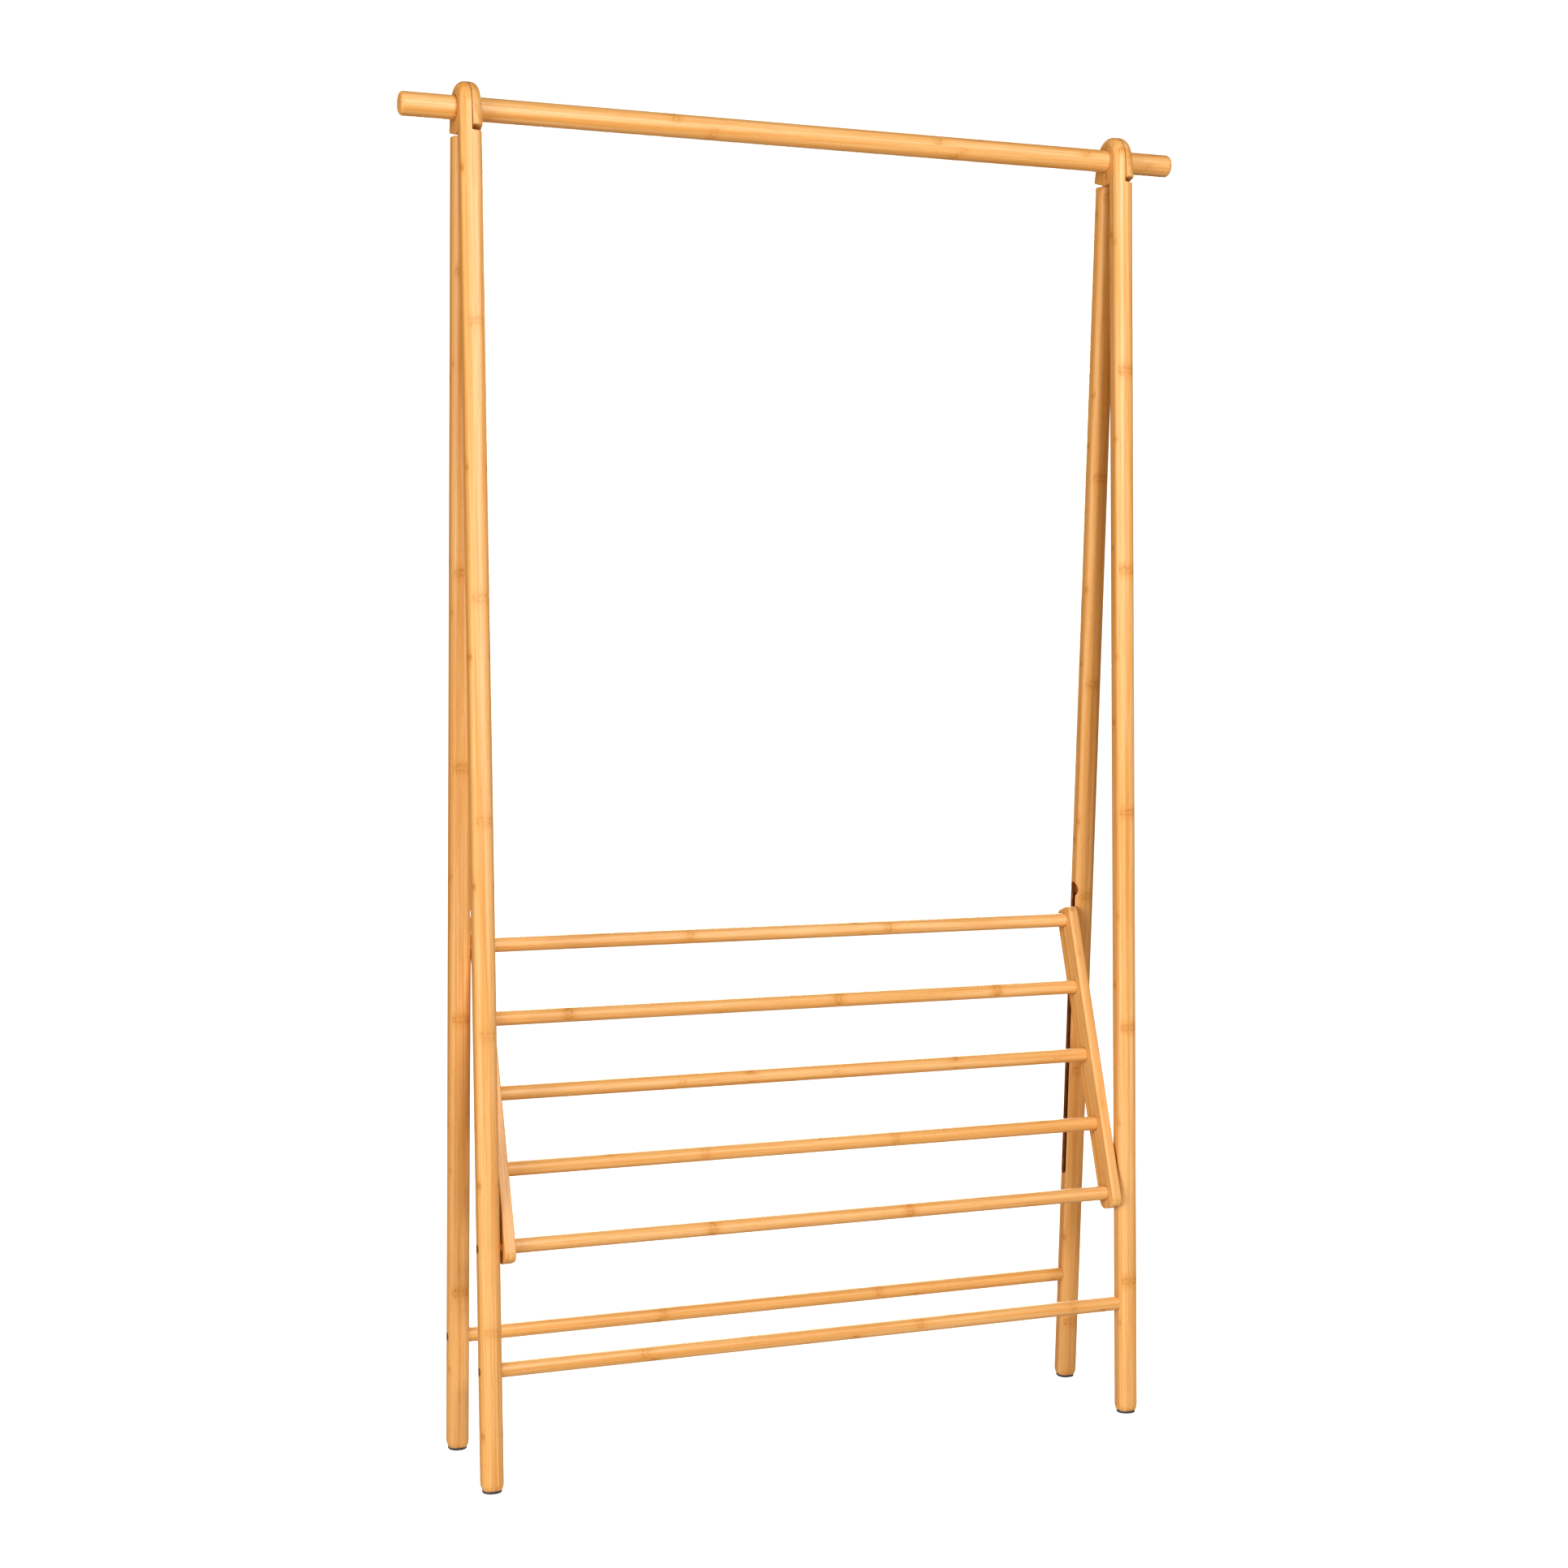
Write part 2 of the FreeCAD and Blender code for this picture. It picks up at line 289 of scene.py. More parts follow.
def closeMaterial(pen, sockets):
    shader = pen.add("ShaderNodeBsdfPrincipled", None, sockets)
    pen.add("ShaderNodeOutputMaterial", None, {"Surface": shader})


# pairs called ...Fade run from full to nothing, in metres from the middle of a node
bambooLook = dict(
    pale=(0.78, 0.480, 0.220, 1), honey=(0.71, 0.385, 0.120, 1), toffee=(0.63, 0.285, 0.056, 1),
    fibre=(0.43, 0.178, 0.032, 1), nodeBrown=(0.35, 0.123, 0.016, 1), seamBrown=(0.40, 0.140, 0.022, 1),
    nodeEvery=0.285, nodeWander=0.4, nodeWobble=0.005, nodeFade=(0.0035, 0.0095), cloudFade=(0.001, 0.017),
    knuckleFade=(0.0008, 0.0050), zigWide=0.0026, zigTall=0.0036, upperRow=0.0031, lowerRow=0.0027,
    upperFade=(0.0003, 0.0013), lowerFade=(0.0003, 0.0012), swerve=0.0020,
    bands=(230, 2.2), strands=(820, 11), threads=(2100, 75),
    roughness=0.46, bump=(0.16, 0.0005), coat=0.14, coatRoughness=0.36, ior=1.48)
legStrips = dict(wide=0.026, deep=0.0065, shift=0.5, nodes=1.0)
dowelStrips = dict(wide=0.0140, deep=0.0070, shift=0.0, nodes=1.0)
barStrips = dict(wide=0.0180, deep=0.0070, shift=0.0, nodes=0.25)


def bambooMaterial(name, origin, turn, strips, seed):
    look = bambooLook
    material, pen = newMaterial(name)
    grain = pen.add("ShaderNodeMapping", {"vector_type": "TEXTURE"},
                    {"Vector": pen.place(), "Location": origin, "Rotation": turn})
    across, depth, along = pen.split(grain)

    # glued strips, each with its own tone and its own nodes
    sideways = across / strips["wide"] + strips["shift"]
    column = sideways.floor()
    stagger = pen.chance(column, seed, 3.7, "Value")
    layers = depth / strips["deep"] + stagger * 0.2 + 0.4
    row = layers.floor()
    tone = pen.chance(column, row, seed, "Value")
    nodeShift, nodeForce, warm = pen.splitColour(pen.chance(column, row, seed, "Color"))
    drift = pen.noise(column * 3.1 + across * 60, row * 2.3 + depth * 60, along * 3.0 + seed, 1.0)
    edgeOn = abs(sideways.fract() - 0.5) * 2
    layerEdge = abs(layers.fract() - 0.5) * 2
    seam = pen.math("MAXIMUM", edgeOn.ease(0.95, 0.995), layerEdge.ease(0.92, 0.985))
    stripSide = edgeOn.ease(0.60, 0.90)

    # nodes: rows of brown dashes over a soft dark cloud, a plain line where the strip is seen edge-on
    ladder = along / look["nodeEvery"] + nodeShift
    lift = pen.chance(column + seed, row, ladder.floor(), "Value")
    wobble = pen.noise(across * 260, depth * 260, along * 50 + seed, 1.0)
    away = ladder.fract() - 0.5 - (lift - 0.5) * look["nodeWander"]
    away = away * look["nodeEvery"] + (wobble - 0.5) * look["nodeWobble"]
    reach = abs(away)
    band = 1 - reach.ease(*look["nodeFade"])
    cloud = 1 - reach.ease(*look["cloudFade"])
    knuckle = (1 - reach.ease(*look["knuckleFade"])) * stripSide
    swerve = (pen.noise(across * 420, depth * 420, along * 190, 1.0) - 0.5) * cloud * look["swerve"]
    gap, dashTint = pen.add("ShaderNodeTexVoronoi", {"voronoi_dimensions": "3D", "feature": "F1"},
                            {"Vector": pen.vector(across * 700, depth * 700, along * 330 + seed),
                             "Scale": 1.0, "Randomness": 0.9}, ("Distance", "Color"))
    keep = pen.splitColour(dashTint)[0].ease(0.05, 0.6)
    dots = band * keep * (1 - gap.ease(0.22, 0.52))
    zig = abs(((across + depth + swerve) / look["zigWide"]).fract() - 0.5) * 2 - 0.5
    upper = 1 - abs(away - look["upperRow"] - zig * look["zigTall"]).ease(*look["upperFade"])
    lower = 1 - abs(away + look["lowerRow"] + zig * look["zigTall"] * 0.8).ease(*look["lowerFade"])
    patchy = pen.noise(across * 520 + seed, depth * 520, along * 240, 1.0).ease(0.36, 0.58)
    zigzags = pen.math("MAXIMUM", upper, lower * 0.75) * patchy
    dashes = (dots * 0.55 + zigzags * 0.75) * (1 - stripSide)

    # long fibres from broad bands to single threads, dotted on the end grain
    def fibres(fineness, breaks):
        return pen.noise((across + swerve) * fineness, (depth + swerve) * fineness,
                         along * breaks + seed, 2.0, 0.6)

    bands, strands, threads = (fibres(*look[kind]) for kind in ("bands", "strands", "threads"))

    colour = pen.paint(tone * 0.55 + drift.ease(0.3, 0.7) * 0.45, look["pale"], look["honey"])
    colour = pen.paint(bands.ease(0.40, 0.68) * (warm * 0.45 + 0.50), colour, look["toffee"])
    colour = pen.paint(strands.ease(0.48, 0.70) * 0.50, colour, look["toffee"])
    colour = pen.paint((1 - strands).ease(0.54, 0.72) * 0.45, colour, look["pale"])
    colour = pen.paint(threads.ease(0.55, 0.72) * 0.34, colour, look["fibre"])
    colour = pen.paint(seam * 0.20, colour, look["seamBrown"])
    colour = pen.paint(cloud * (nodeForce * 0.40 + 0.25) * strips["nodes"], colour, look["toffee"])
    marks = (knuckle * (nodeForce * 0.30 + 0.15) + dashes * (nodeForce * 0.30 + 0.48)) * strips["nodes"]
    colour = pen.paint(marks, colour, look["nodeBrown"])

    roughness = look["roughness"] + strands * 0.12 + dashes * 0.10
    relief = strands * 0.5 + threads * 0.3 - dashes * 0.6 - seam * 0.3
    closeMaterial(pen, {"Base Color": colour, "Roughness": roughness, "IOR": look["ior"],
                        "Coat Weight": look["coat"], "Coat Roughness": look["coatRoughness"],
                        "Normal": pen.bump(relief, *look["bump"])})
    return material


# cut faces: these dark colours are painted shade, standing for the shade inside slots, keyholes, screw
# recesses and sockets and the dark rings at hole rims; partly they are also the darker raw, scorched cut of
# the wood
cutLook = dict(scorchedShade=(0.24, 0.080, 0.016, 1), toastedShade=(0.46, 0.190, 0.050, 1),
               grain=(900, 900, 60), burn=(120, 120, 90), roughness=0.72, bump=(0.3, 0.0004))


def cutMaterial(name):
    look = cutLook
    material, pen = newMaterial(name)
    spot = pen.split(pen.place())
    grain = pen.speckle(spot, look["grain"], 2.0, 0.6)
    burn = pen.speckle(spot, look["burn"])
    toast = grain.ease(0.35, 0.65) * 0.55 + burn.ease(0.35, 0.7) * 0.45
    colour = pen.paint(toast, look["scorchedShade"], look["toastedShade"])
    closeMaterial(pen, {"Base Color": colour, "Roughness": look["roughness"] + burn * 0.16,
                        "Normal": pen.bump(grain, *look["bump"])})
    return material


steelLook = dict(bright=(0.62, 0.61, 0.60, 1), dull=(0.34, 0.33, 0.32, 1),
                 lathe=(5200, 700, 700), stain=(420, 420, 420), roughness=0.26, bump=(0.1, 0.0001))


def steelMaterial(name):
    look = steelLook
    material, pen = newMaterial(name)
    spot = pen.split(pen.place())
    lathe = pen.speckle(spot, look["lathe"])
    stain = pen.speckle(spot, look["stain"], 3.0, 0.6)
    colour = pen.paint(lathe * 0.5 + stain.ease(0.4, 0.7) * 0.5, look["bright"], look["dull"])
    closeMaterial(pen, {"Base Color": colour, "Roughness": look["roughness"] + stain * 0.22, "Metallic": 1.0,
                        "Normal": pen.bump(lathe, *look["bump"])})
    return material


padLook = dict(face=(0.062, 0.056, 0.068, 1), scuff=(0.21, 0.20, 0.22, 1),
               pebble=(1500, 1500, 1500), rub=(420, 420, 420), roughness=0.62, bump=(0.35, 0.0003))


def padMaterial(name):
    look = padLook
    material, pen = newMaterial(name)
    spot = pen.split(pen.place())
    pebble = pen.speckle(spot, look["pebble"])
    rub = pen.speckle(spot, look["rub"], 3.0, 0.6)
    wear = rub.ease(0.48, 0.68) * 0.6 + pebble.ease(0.55, 0.8) * 0.5
    colour = pen.paint(wear, look["face"], look["scuff"])
    closeMaterial(pen, {"Base Color": colour, "Roughness": look["roughness"] + rub * 0.22,
                        "Normal": pen.bump(pebble, *look["bump"])})
    return material


frontLegAxis = railMiddle + Vector((0, -legOffset, 0))
rearLegAxis = railMiddle + Vector((0, legOffset, 0))
frontLegBamboo = bambooMaterial("frontLegBamboo", frontLegAxis, (-legTilt, 0, 0), legStrips, 1.3)
rearLegBamboo = bambooMaterial("rearLegBamboo", rearLegAxis, (legTilt, 0, 0), legStrips, 5.9)
dowelBamboo = bambooMaterial("dowelBamboo", railMiddle, (0, math.pi / 2, 0), dowelStrips, 11.7)
barBamboo = bambooMaterial("barBamboo", pivotMiddle, (shelfTurn, 0, 0), barStrips, 14.6)
# dark cut-face material: painted shade in hollows and at hole rims, partly the darker raw cut
shadedCutBamboo = cutMaterial("shadedCutBamboo")
platedSteel = steelMaterial("platedSteel")
padRubber = padMaterial("padRubber")
print("materials made")


# legs, drawn hanging down from the rail's axis and then stood up

leg = dict(width=0.026, edge=0.010, edgeSteps=8, shoulder=0.0295, end=1.5785,
           bevel=[(0.0005, 0.0036), (0.0013, 0.0034)])
head = dict(radius=0.0295, sides=96, lap=0.0003, rim=0.010, rimSteps=8, flare=math.radians(14.306),
            wingDrop=0.0292, plateInner=-0.00249, lapEase=0.0005, lapSteps=2, wingEase=0.0022, wingSteps=3,
            shoulderEase=0.0014, shoulderSteps=3, railHole=0.01358, holeRim=0.0004, holeOvercut=0.002)
drill = dict(recess=0.0049, recessDepth=0.006, recessRim=0.0004, shank=0.00258, socket=0.0088,
             socketDepth=0.006, socketRim=0.0004, stretcherDrop=1.441, pivotDrop=1.298)
slot = dict(width=0.0105, lip=0.004, undercut=0.017, undercutDepth=0.0042, rim=0.0004, entry=0.019,
            entryOvercut=0.0001, top=0.92353, bottom=1.298)
halfLeg = leg["width"] / 2


def makeShaft():
    straight = leg["end"] - leg["shoulder"] - sum(height for inset, height in leg["bevel"])
    clearHands()
    bpy.ops.mesh.primitive_cube_add(size=1, location=(0, legOffset, -leg["shoulder"] - straight / 2),
                                    scale=(leg["width"], leg["width"], straight))
    piece = bpy.context.object
    applyPlace(piece)
    editMesh(piece)
    pick(piece, "EDGE", lambda a, b: abs(a.z - b.z) > straight / 2)
    roundEdges(leg["edge"], leg["edgeSteps"])
    pick(piece, "FACE", lambda spot, normal: normal.z < -0.9)
    for inset, height in leg["bevel"]:
        bpy.ops.mesh.inset(thickness=inset, depth=height)
    clearHands()
    return piece


def makeHead():
    radius, lap, inner, shoulder = head["radius"], head["lap"], head["plateInner"], leg["shoulder"]
    sine, cosine = math.sin(head["flare"]), math.cos(head["flare"])
    wingCorner = (-radius * cosine - head["wingDrop"] * sine, radius * sine - head["wingDrop"] * cosine)
    roundTop = 165  # the disc stays round up to this bearing, and these points become corners
    corners = {roundTop: (-radius * cosine, radius * sine), 225: wingCorner,
               270: (inner, -shoulder), 315: (radius, -shoulder)}
    clearHands()
    bpy.ops.mesh.primitive_circle_add(vertices=head["sides"], radius=radius, fill_type="NGON",
                                      rotation=(0, math.pi / 2, 0))
    piece = bpy.context.object
    applyPlace(piece)
    editMesh(piece)

    def bearing(spot):
        return math.degrees(math.atan2(spot.z, spot.y)) % 360

    pick(piece, "VERT", lambda spot: roundTop + 1 < bearing(spot) < 359
         and min(abs(bearing(spot) - corner) for corner in corners) > 1)
    bpy.ops.mesh.dissolve_verts()
    for corner, (y, z) in corners.items():
        turn = math.radians(corner)
        start = Vector((0, radius * math.cos(turn), radius * math.sin(turn)))
        pick(piece, "VERT", lambda spot: (spot - start).length < touching)
        bpy.ops.transform.translate(value=Vector((0, y, z)) - start)
    bpy.ops.mesh.select_all(action="SELECT")
    bpy.ops.transform.translate(value=(lap, 0, 0))
    bpy.ops.mesh.select_mode(type="FACE")
    bpy.ops.mesh.select_all(action="SELECT")
    bpy.ops.mesh.extrude_region_move(TRANSFORM_OT_translate={"value": (halfLeg - lap, 0, 0)})

    # round the outer rim everywhere but along the bottom
    def underside(spot):
        onShoulder = abs(spot.z + shoulder) < touching
        onWing = abs(-spot.y * sine - spot.z * cosine - head["wingDrop"]) < touching
        return onShoulder or onWing

    pick(piece, "EDGE", lambda a, b: min(a.x, b.x) > halfLeg - touching
         and not (underside(a) and underside(b)))
    roundEdges(head["rim"], head["rimSteps"])

    # ease the wing's lower edge and the edge along the lap, which make the dark seam
    pick(piece, "EDGE", lambda a, b: underside(a) and underside(b) and min(a.y, b.y) < inner - clearOf
         and min(a.z, b.z) > -shoulder + clearOf and max(a.x, b.x) > lap + touching)
    roundEdges(head["wingEase"], head["wingSteps"])
    pick(piece, "EDGE", lambda a, b: max(a.x, b.x) < lap + touching and max(a.z, b.z) > -shoulder + clearOf)
    roundEdges(head["lapEase"], head["lapSteps"])
    clearHands()
    outward(piece)
    return piece


def makeLegBlank():
    lap, shoulder = head["lap"], leg["shoulder"]
    blank = makeHead()
    blank.data.materials.append(frontLegBamboo)
    carve(blank, makeShaft(), frontLegBamboo, "UNION")

    # ease the open half of the shoulder
    editMesh(blank)
    pick(blank, "EDGE", lambda a, b: max(abs(a.z + shoulder), abs(b.z + shoulder)) < touching
         and max(a.x, b.x) < lap + touching and min(a.x, b.x) < lap - touching)
    roundEdges(head["shoulderEase"], head["shoulderSteps"])
    clearHands()
    hole, rim, over = head["railHole"], head["holeRim"], head["holeOvercut"]
    profile = [(-over, hole), (halfLeg - rim, hole), (halfLeg + over, hole + rim + over)]
    # the rail hole's bore and rim chamfer take painted shade
    carve(blank, turnedPiece(profile, sides=head["sides"]), shadedCutBamboo)
    return blank


def drillAt(side, steps, y, drop):
    return turnedPiece([(side * (halfLeg - deep), radius) for deep, radius in steps], y, -drop)


def recessSteps():
    rim, radius = drill["recessRim"], drill["recess"]
    return [(-overcut, radius + rim + overcut), (rim, radius), (drill["recessDepth"], radius),
            (drill["recessDepth"], drill["shank"])]


def stretcherDrill(side, y):
    rim, radius = drill["socketRim"], drill["socket"]
    floor = leg["width"] - drill["socketDepth"]
    steps = recessSteps() + [(floor, drill["shank"]), (floor, radius), (leg["width"] - rim, radius),
                             (leg["width"] + overcut, radius + rim + overcut)]
    return drillAt(side, steps, y, drill["stretcherDrop"])


def pivotDrill(side, y):
    return drillAt(side, recessSteps() + [(leg["width"] + overcut, drill["shank"])], y, drill["pivotDrop"])


def slotCutter(side, y):
    lip = leg["width"] - slot["lip"]
    floor = lip - slot["undercutDepth"]
    neck, wide, rim = slot["width"] / 2, slot["undercut"] / 2, slot["rim"]
    steps = [(floor, wide), (lip, wide), (lip, neck), (leg["width"] - rim, neck),
             (leg["width"] + overcut, neck + rim + overcut)]
    tool = drillAt(side, steps, y, slot["bottom"])
    editMesh(tool)
    pick(tool, "VERT", lambda spot: spot.z > -slot["bottom"] - touching)
    bpy.ops.transform.translate(value=(0, 0, slot["bottom"] - slot["top"]))
    clearHands()
    return tool


def entryCutter(side, y):
    floor = leg["width"] - slot["lip"] - slot["undercutDepth"]
    radius, rim = slot["entry"] / 2, slot["rim"]
    steps = [(floor - slot["entryOvercut"], radius), (leg["width"] - rim, radius),
             (leg["width"] + overcut, radius + rim + overcut)]
    return drillAt(side, steps, y, slot["top"])


def standUp(piece, tilt, x):
    piece.rotation_euler = (tilt, 0, 0)
    piece.location = (x, 0, railMiddle.z)
    applyPlace(piece)


legBlank = makeLegBlank()
for name, side in bothSides.items():
    front = copyOf(legBlank)
    front.rotation_euler = (0, 0, math.pi)
    applyPlace(front)
    # the stretcher and pivot drills' recesses, sockets and rims take painted shade
    carve(front, stretcherDrill(side, -legOffset), shadedCutBamboo)
    carve(front, pivotDrill(side, -legOffset), shadedCutBamboo)
    standUp(front, -legTilt, side * frameX)
    finishPiece(front, "frontLeg" + name.title(), "front_leg_" + name, frontLegBamboo)
    rear = copyOf(legBlank)
    carve(rear, stretcherDrill(side, legOffset), shadedCutBamboo)
    # the slot, undercut and keyhole walls take painted shade
    carve(rear, slotCutter(side, legOffset), shadedCutBamboo)
    carve(rear, entryCutter(side, legOffset), shadedCutBamboo)
    standUp(rear, legTilt, side * frameX)
    finishPiece(rear, "rearLeg" + name.title(), "rear_leg_" + name, rearLegBamboo)
discard(legBlank)
print("legs made")


# foot pads

pad = dict(half=0.0112, edge=0.0100, edgeSteps=8, thick=0.0035, rim=0.0008, rimSteps=4, reach=1.582)


def makePad():
    clearHands()
    bpy.ops.mesh.primitive_cube_add(size=1, location=(0, 0, pad["thick"] / 2 - pad["reach"]),
                                    scale=(2 * pad["half"], 2 * pad["half"], pad["thick"]))
    piece = bpy.context.object
    applyPlace(piece)
    editMesh(piece)
    pick(piece, "EDGE", lambda a, b: abs(a.z - b.z) > pad["thick"] / 2)
    roundEdges(pad["edge"], pad["edgeSteps"])
    pick(piece, "EDGE", lambda a, b: max(a.z, b.z) < -pad["reach"] + touching)
    roundEdges(pad["rim"], pad["rimSteps"])
    clearHands()
    return piece


padBlank = makePad()
for end, lean in (("front", -1), ("rear", 1)):
    for name, side in bothSides.items():
        foot = copyOf(padBlank)
        foot.location = (0, lean * legOffset, 0)
        applyPlace(foot)
        standUp(foot, lean * legTilt, side * frameX)
        finishPiece(foot, end + "FootPad" + name.title(), end + "_foot_pad_" + name, padRubber)
discard(padBlank)
print("foot pads made")


# rail, stretchers and shelf rods

rail = dict(radius=0.0135, length=0.986, endRound=0.005, endSteps=8, sides=96)
stretcher = dict(radius=0.00875, length=0.8176, endRound=0.0008, endSteps=3, sides=64)
rod = dict(radius=0.00875, length=0.7908, endRound=0.0008, endSteps=3, sides=64, count=5)


def makeDowel(size):
    clearHands()
    bpy.ops.mesh.primitive_cylinder_add(vertices=size["sides"], radius=size["radius"], depth=size["length"],
                                        rotation=(0, math.pi / 2, 0))
    piece = bpy.context.object
    applyPlace(piece)
    editMesh(piece)
    pick(piece, "EDGE", lambda a, b: abs(a.x - b.x) < touching)
    roundEdges(size["endRound"], size["endSteps"])
    clearHands()
    return piece


def layDowel(blank, name, node):
    dowel = copyOf(blank)
    dowel.location = middle(node)
    applyPlace(dowel)
    finishPiece(dowel, name, node, dowelBamboo)


rodNodes = {"shelfRod" + str(n): "shelf_rod_" + str(n) for n in range(1, rod["count"] + 1)}
for size, batch in ((rail, {"hangRail": "hang_rail"}),
                    (stretcher, {"frontStretcher": "front_stretcher", "rearStretcher": "rear_stretcher"}),
                    (rod, rodNodes)):
    dowelBlank = makeDowel(size)
    for name, node in batch.items():
        layDowel(dowelBlank, name, node)
    discard(dowelBlank)
print("rail, stretchers and rods made")


# shelf bars, drawn upright from the lowest rod and then leaned over

bar = dict(inner=0.3876, thick=0.0132, width=0.0355, overhang=0.0158, tail=0.0195, corner=0.011,
           cornerSteps=8, edge=0.0016, edgeSteps=4, socket=0.0088, socketDepth=0.008, socketRim=0.0004,
           pitch=0.089)


def makeBar(side):
    low, high = -bar["tail"], bar["pitch"] * (rod["count"] - 1) + bar["overhang"]
    clearHands()
    bpy.ops.mesh.primitive_cube_add(
        size=1, location=(side * (bar["inner"] + bar["thick"] / 2), 0, (low + high) / 2),
        scale=(bar["thick"], bar["width"], high - low))
    piece = bpy.context.object
    applyPlace(piece)
    editMesh(piece)
    pick(piece, "EDGE", lambda a, b: abs(a.x - b.x) > bar["thick"] / 2)
    roundEdges(bar["corner"], bar["cornerSteps"])
    pick(piece, "EDGE", lambda a, b: abs(a.x - b.x) < bar["thick"] / 2)
    roundEdges(bar["edge"], bar["edgeSteps"])
    clearHands()
    piece.data.materials.append(barBamboo)
    rim, radius = bar["socketRim"], bar["socket"]
    for index in range(rod["count"]):
        steps = [(-overcut, radius + rim + overcut), (rim, radius), (bar["socketDepth"], radius)]
        if index == 0:  # the pivot screw goes right through
            steps += [(bar["socketDepth"], drill["shank"]), (bar["thick"] + overcut, drill["shank"])]
        profile = [(side * (bar["inner"] + deep), r) for deep, r in steps]
        # the rod sockets' walls and rims take painted shade
        carve(piece, turnedPiece(profile, 0, index * bar["pitch"]), shadedCutBamboo)
    return piece


def onShelf(piece):
    piece.rotation_euler = (shelfTurn, 0, 0)
    piece.location = (0, pivotMiddle.y, pivotMiddle.z)
    applyPlace(piece)


for name, side in bothSides.items():
    shelfBar = makeBar(side)
    onShelf(shelfBar)
    finishPiece(shelfBar, "shelfBar" + name.title(), "shelf_bar_" + name, barBamboo)
print("shelf bars made")


# screws, spacers and slot pins

screw = dict(head=0.0045, tall=0.0032, sides=48, shank=0.0025, bite=0.026, hexKey=0.004, hexDepth=0.0018,
             pointLength=0.003, pointRadius=0.0012, seat=0.006, pivotGap=0.0002, dowelGap=0.0002,
             headRound=[(0, 0.0009), (0.0001, 0.0004), (0.0004, 0.0001), (0.0009, 0)])
spacer = dict(radius=0.00625, near=0.4009, far=0.4029, edge=0.0003, hole=0.00258)
pin = dict(head=0.00815, headEdge=0.0005, shank=0.0049, tipEdge=0.0006,
           headFrom=0.01815, headTo=0.02165, tip=0.0279)


def makeScrew(side, length, seat):
    radius, tall, shank = screw["head"], screw["tall"], screw["shank"]
    steps = [(down - tall, radius - inward) for down, inward in screw["headRound"]]
    steps += [(0, radius), (0, shank), (length - screw["pointLength"], shank), (length, screw["pointRadius"])]
    piece = turnedPiece([(side * (halfLeg - seat - x), r) for x, r in steps], sides=screw["sides"])
    clearHands()
    bpy.ops.mesh.primitive_cylinder_add(
        vertices=6, radius=screw["hexKey"] / math.sqrt(3), depth=2 * screw["hexDepth"],
        location=(side * (halfLeg - seat + tall), 0, 0), rotation=(0, math.pi / 2, 0))
    key = bpy.context.object
    applyPlace(key)
    carve(piece, key)
    piece.location = (side * frameX, 0, 0)
    applyPlace(piece)
    return piece


def screwPair(name, node, length, seat):
    spot = middle(node)
    pair = [makeScrew(side, length, seat) for side in bothSides.values()]
    takeUp(pair[0])
    pair[1].select_set(True)
    bpy.ops.object.join()
    pair[0].location = (0, spot.y, spot.z)
    applyPlace(pair[0])
    finishPiece(pair[0], name, node, platedSteel)


def makeSpacer(side):
    near, far, edge, radius = spacer["near"], spacer["far"], spacer["edge"], spacer["radius"]
    steps = [(near, radius - edge), (near + edge, radius), (far - edge, radius), (far, radius - edge)]
    bore = [(near - overcut, spacer["hole"]), (far + overcut, spacer["hole"])]
    ring = turnedPiece([(side * x, r) for x, r in steps])
    carve(ring, turnedPiece([(side * x, r) for x, r in bore]))
    onShelf(ring)
    return ring


def makePin(side, spot):
    wide, slim = pin["head"], pin["shank"]
    steps = [(pin["headFrom"], wide - pin["headEdge"]), (pin["headFrom"] + pin["headEdge"], wide),
             (pin["headTo"], wide), (pin["headTo"], slim),
             (pin["tip"] - pin["tipEdge"], slim), (pin["tip"], slim - pin["tipEdge"])]
    runner = turnedPiece([(side * (frameX + halfLeg - deep), r) for deep, r in steps])
    runner.location = (0, spot.y, spot.z)
    applyPlace(runner)
    return runner


stretcherLength = leg["width"] - screw["seat"] - drill["socketDepth"] + screw["dowelGap"] + screw["bite"]
pivotSeat = screw["seat"] - screw["pivotGap"]
pivotLength = frameX + halfLeg - pivotSeat - rod["length"] / 2 + screw["bite"]
screwPair("frontStretcherScrews", "front_stretcher_screws", stretcherLength, screw["seat"])
screwPair("rearStretcherScrews", "rear_stretcher_screws", stretcherLength, screw["seat"])
screwPair("shelfPivotScrews", "shelf_pivot_screws", pivotLength, pivotSeat)
for name, side in bothSides.items():
    finishPiece(makeSpacer(side), "pivotSpacer" + name.title(), "pivot_spacer_" + name, barBamboo)
    pinNode = "slot_pin_" + name
    finishPiece(makePin(side, middle(pinNode)), "slotPin" + name.title(), pinNode, platedSteel)
print("screws, spacers and pins made")


# floor, light and camera: the floor and the world look white, and light the rack less than that

studio = dict(floorSize=60.0, floor=(0.46, 0.46, 0.46, 1), mottleScale=3, mottle=0.03, roughness=0.8,
              glow=0.74, fadeFrom=0.5, fadeTo=3.2, bounce=(1.0, 0.80, 0.50, 1), bounceShare=0.13,
              worldShare=0.165)
lamps = dict(
    key=dict(place=(0.30, -3.0, 2.1), aim=(0, 0, 1.1), size=1.3, power=84, tint=(1, 0.98, 1)),
    fill=dict(place=(-4.5, -1.9, 1.4), aim=(0, 0, 0.9), size=2.7, power=156, tint=(1, 0.94, 0.84)),
    back=dict(place=(1.3, 3.4, 1.8), aim=(0, 0, 0.9), size=2.0, power=155, tint=(1, 0.96, 0.90)))
camera = dict(place=(-1.1206, -2.7804, 0.9971), yaw=21.446, pitch=-4.920, roll=0.265, focalPixels=3032.49,
              middlePixel=(962.6, 1034.0), imagePixels=1932, sensor=36, farClip=100)
white, black = (1, 1, 1, 1), (0, 0, 0, 1)
scene = bpy.context.scene

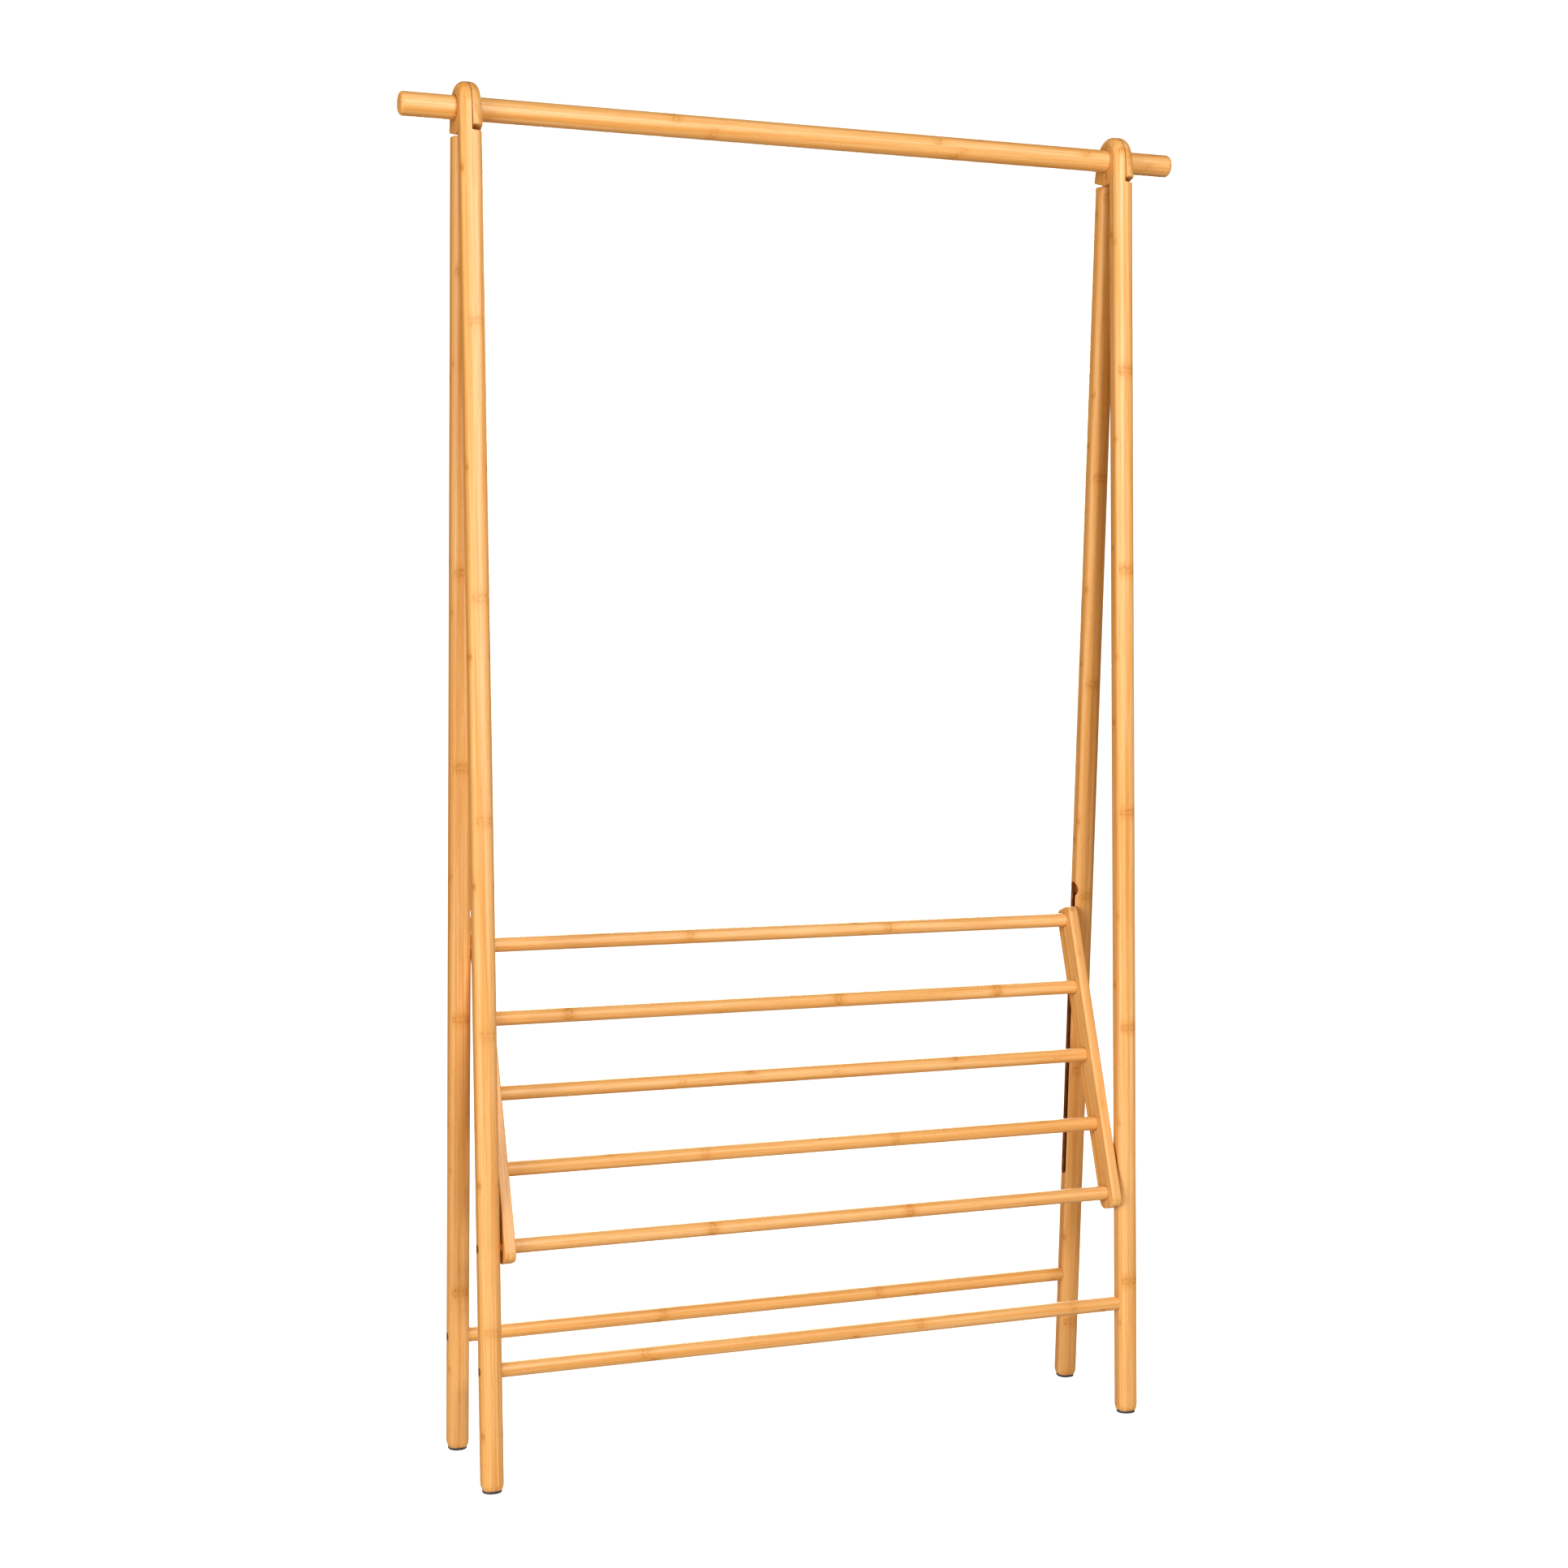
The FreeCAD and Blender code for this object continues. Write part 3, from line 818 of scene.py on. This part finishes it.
clearHands()
bpy.ops.mesh.primitive_plane_add(size=studio["floorSize"])
floor = bpy.context.object
floor.name = "studioFloor"
floorPaint, pen = newMaterial("studioFloorPaint")
x, y, z = pen.split(pen.place())
away = pen.math("SQRT", x * x + y * y).ease(studio["fadeFrom"], studio["fadeTo"])
mottle = pen.noise(x * studio["mottleScale"], y * studio["mottleScale"], z) * studio["mottle"]
paint = pen.paint(pen.math("MAXIMUM", away, mottle), studio["floor"], black)
seen = pen.add("ShaderNodeLightPath", None, None, "Is Camera Ray")
tint = pen.paint(seen, studio["bounce"], white)
glow = away * (1 - studio["glow"]) + studio["glow"]
share = seen * (1 - studio["bounceShare"]) + studio["bounceShare"]
closeMaterial(pen, {"Base Color": paint, "Roughness": studio["roughness"], "Specular IOR Level": 0.0,
                    "Emission Color": pen.paint(glow * share, black, tint), "Emission Strength": 1.0})
floor.data.materials.append(floorPaint)

world = bpy.data.worlds.new("studioWorld")
scene.world = world
world.use_nodes = True
world.node_tree.nodes.clear()
pen = Wire(world.node_tree)
seen = pen.add("ShaderNodeLightPath", None, None, "Is Camera Ray")
sky = pen.paint(seen, studio["bounce"], white)
share = seen * (1 - studio["worldShare"]) + studio["worldShare"]
backdrop = pen.add("ShaderNodeBackground", None, {"Color": sky, "Strength": share})
pen.add("ShaderNodeOutputWorld", None, {"Surface": backdrop})

for name, lamp in lamps.items():
    light = bpy.data.lights.new(name, "AREA")
    light.size = lamp["size"]
    light.energy = lamp["power"]
    light.color = lamp["tint"]
    lightObject = bpy.data.objects.new(name + "Light", light)
    scene.collection.objects.link(lightObject)
    lightObject.location = lamp["place"]
    beam = Vector(lamp["aim"]) - Vector(lamp["place"])
    lightObject.rotation_euler = beam.to_track_quat("-Z", "Y").to_euler()

yaw, pitch, roll = (math.radians(camera[key]) for key in ("yaw", "pitch", "roll"))
forward = Vector((math.sin(yaw) * math.cos(pitch), math.cos(yaw) * math.cos(pitch), math.sin(pitch)))
levelRight = Vector((math.cos(yaw), -math.sin(yaw), 0))
levelUp = levelRight.cross(forward)
right = levelRight * math.cos(roll) + levelUp * math.sin(roll)
up = levelUp * math.cos(roll) - levelRight * math.sin(roll)
lens = bpy.data.cameras.new("photoCamera")
lens.sensor_width = camera["sensor"]
lens.lens = camera["focalPixels"] / camera["imagePixels"] * lens.sensor_width
lens.shift_x = 0.5 - camera["middlePixel"][0] / camera["imagePixels"]
lens.shift_y = camera["middlePixel"][1] / camera["imagePixels"] - 0.5
lens.clip_end = camera["farClip"]
cameraObject = bpy.data.objects.new("photoCamera", lens)
scene.collection.objects.link(cameraObject)
cameraObject.matrix_world = Matrix((right, up, -forward)).transposed().to_4x4()
cameraObject.location = camera["place"]
scene.camera = cameraObject
scene.view_settings.view_transform = "Standard"
scene.view_settings.look = "Medium High Contrast"
print("studio made")
